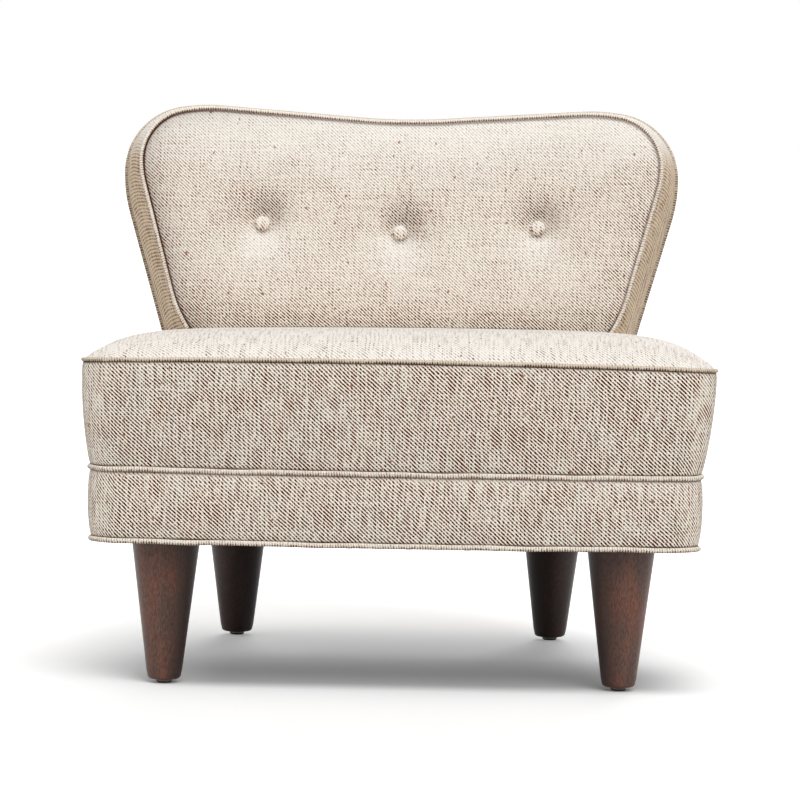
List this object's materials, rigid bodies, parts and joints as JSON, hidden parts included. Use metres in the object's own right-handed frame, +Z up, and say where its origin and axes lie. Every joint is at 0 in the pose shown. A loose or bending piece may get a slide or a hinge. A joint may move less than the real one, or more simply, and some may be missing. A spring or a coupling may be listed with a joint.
{
  "type": "slipper chair",
  "caption": "Armless upholstered slipper chair: crowned boxed seat, low wrapped back drawn in by covered buttons, self welts, and tapered turned wooden legs on nail-on glides.",
  "frame": {"origin": "on the floor, under the middle of the chair's bounding box", "axes": "+Z up; -Y is the way the sitter faces, so the back of the chair is at +Y; +X to the sitter's left"},
  "size_m": [0.7752, 0.686, 0.7078],
  "materials": {
    "cover_fabric": "coarse cream and brown twill, matt",
    "welt_fabric": "the same twill cut on the bias and sewn round a cord",
    "leg_wood": "dark espresso stain, satin",
    "frame_wood": "unfinished hardwood",
    "foam": "open-cell foam",
    "jute": "coarse woven jute",
    "dust_cloth": "black spun cloth",
    "spring_steel": "oiled wire",
    "plated_steel": "nickel plate"
  },
  "bodies": {
    "root": {"seat_top_cover": "cover_fabric", "seat_boxing": "cover_fabric", "seat_apron": "cover_fabric", "inside_back_cover": "cover_fabric", "back_boxing": "cover_fabric", "outside_back_panel": "cover_fabric", "button_left": "cover_fabric", "button_middle": "cover_fabric", "button_right": "cover_fabric", "seat_top_welt": "welt_fabric", "seat_lower_welt": "welt_fabric", "seat_bottom_welt": "welt_fabric", "back_front_welt": "welt_fabric", "back_rear_welt": "welt_fabric", "front_rail": "frame_wood", "back_rail": "frame_wood", "side_rail_left": "frame_wood", "side_rail_right": "frame_wood", "corner_block_front_left": "frame_wood", "corner_block_front_right": "frame_wood", "corner_block_rear_left": "frame_wood", "corner_block_rear_right": "frame_wood", "back_post_left": "frame_wood", "back_post_right": "frame_wood", "back_top_rail": "frame_wood", "back_liner_rail": "frame_wood", "seat_foam": "foam", "back_foam": "foam", "seat_deck": "jute", "back_webbing": "jute", "tuft_twine_left": "jute", "tuft_twine_middle": "jute", "tuft_twine_right": "jute", "dust_cover": "dust_cloth", "seat_spring_1": "spring_steel", "seat_spring_2": "spring_steel", "seat_spring_3": "spring_steel", "seat_spring_4": "spring_steel", "leg_front_left": "leg_wood", "hanger_bolt_front_left": "plated_steel", "glide_front_left": "plated_steel", "leg_front_right": "leg_wood", "hanger_bolt_front_right": "plated_steel", "glide_front_right": "plated_steel", "leg_rear_left": "leg_wood", "hanger_bolt_rear_left": "plated_steel", "glide_rear_left": "plated_steel", "leg_rear_right": "leg_wood", "hanger_bolt_rear_right": "plated_steel", "glide_rear_right": "plated_steel", "spring_clip_front_1": "plated_steel", "spring_clip_front_2": "plated_steel", "spring_clip_front_3": "plated_steel", "spring_clip_front_4": "plated_steel", "spring_clip_rear_1": "plated_steel", "spring_clip_rear_2": "plated_steel", "spring_clip_rear_3": "plated_steel", "spring_clip_rear_4": "plated_steel"}
  },
  "joints": []
}
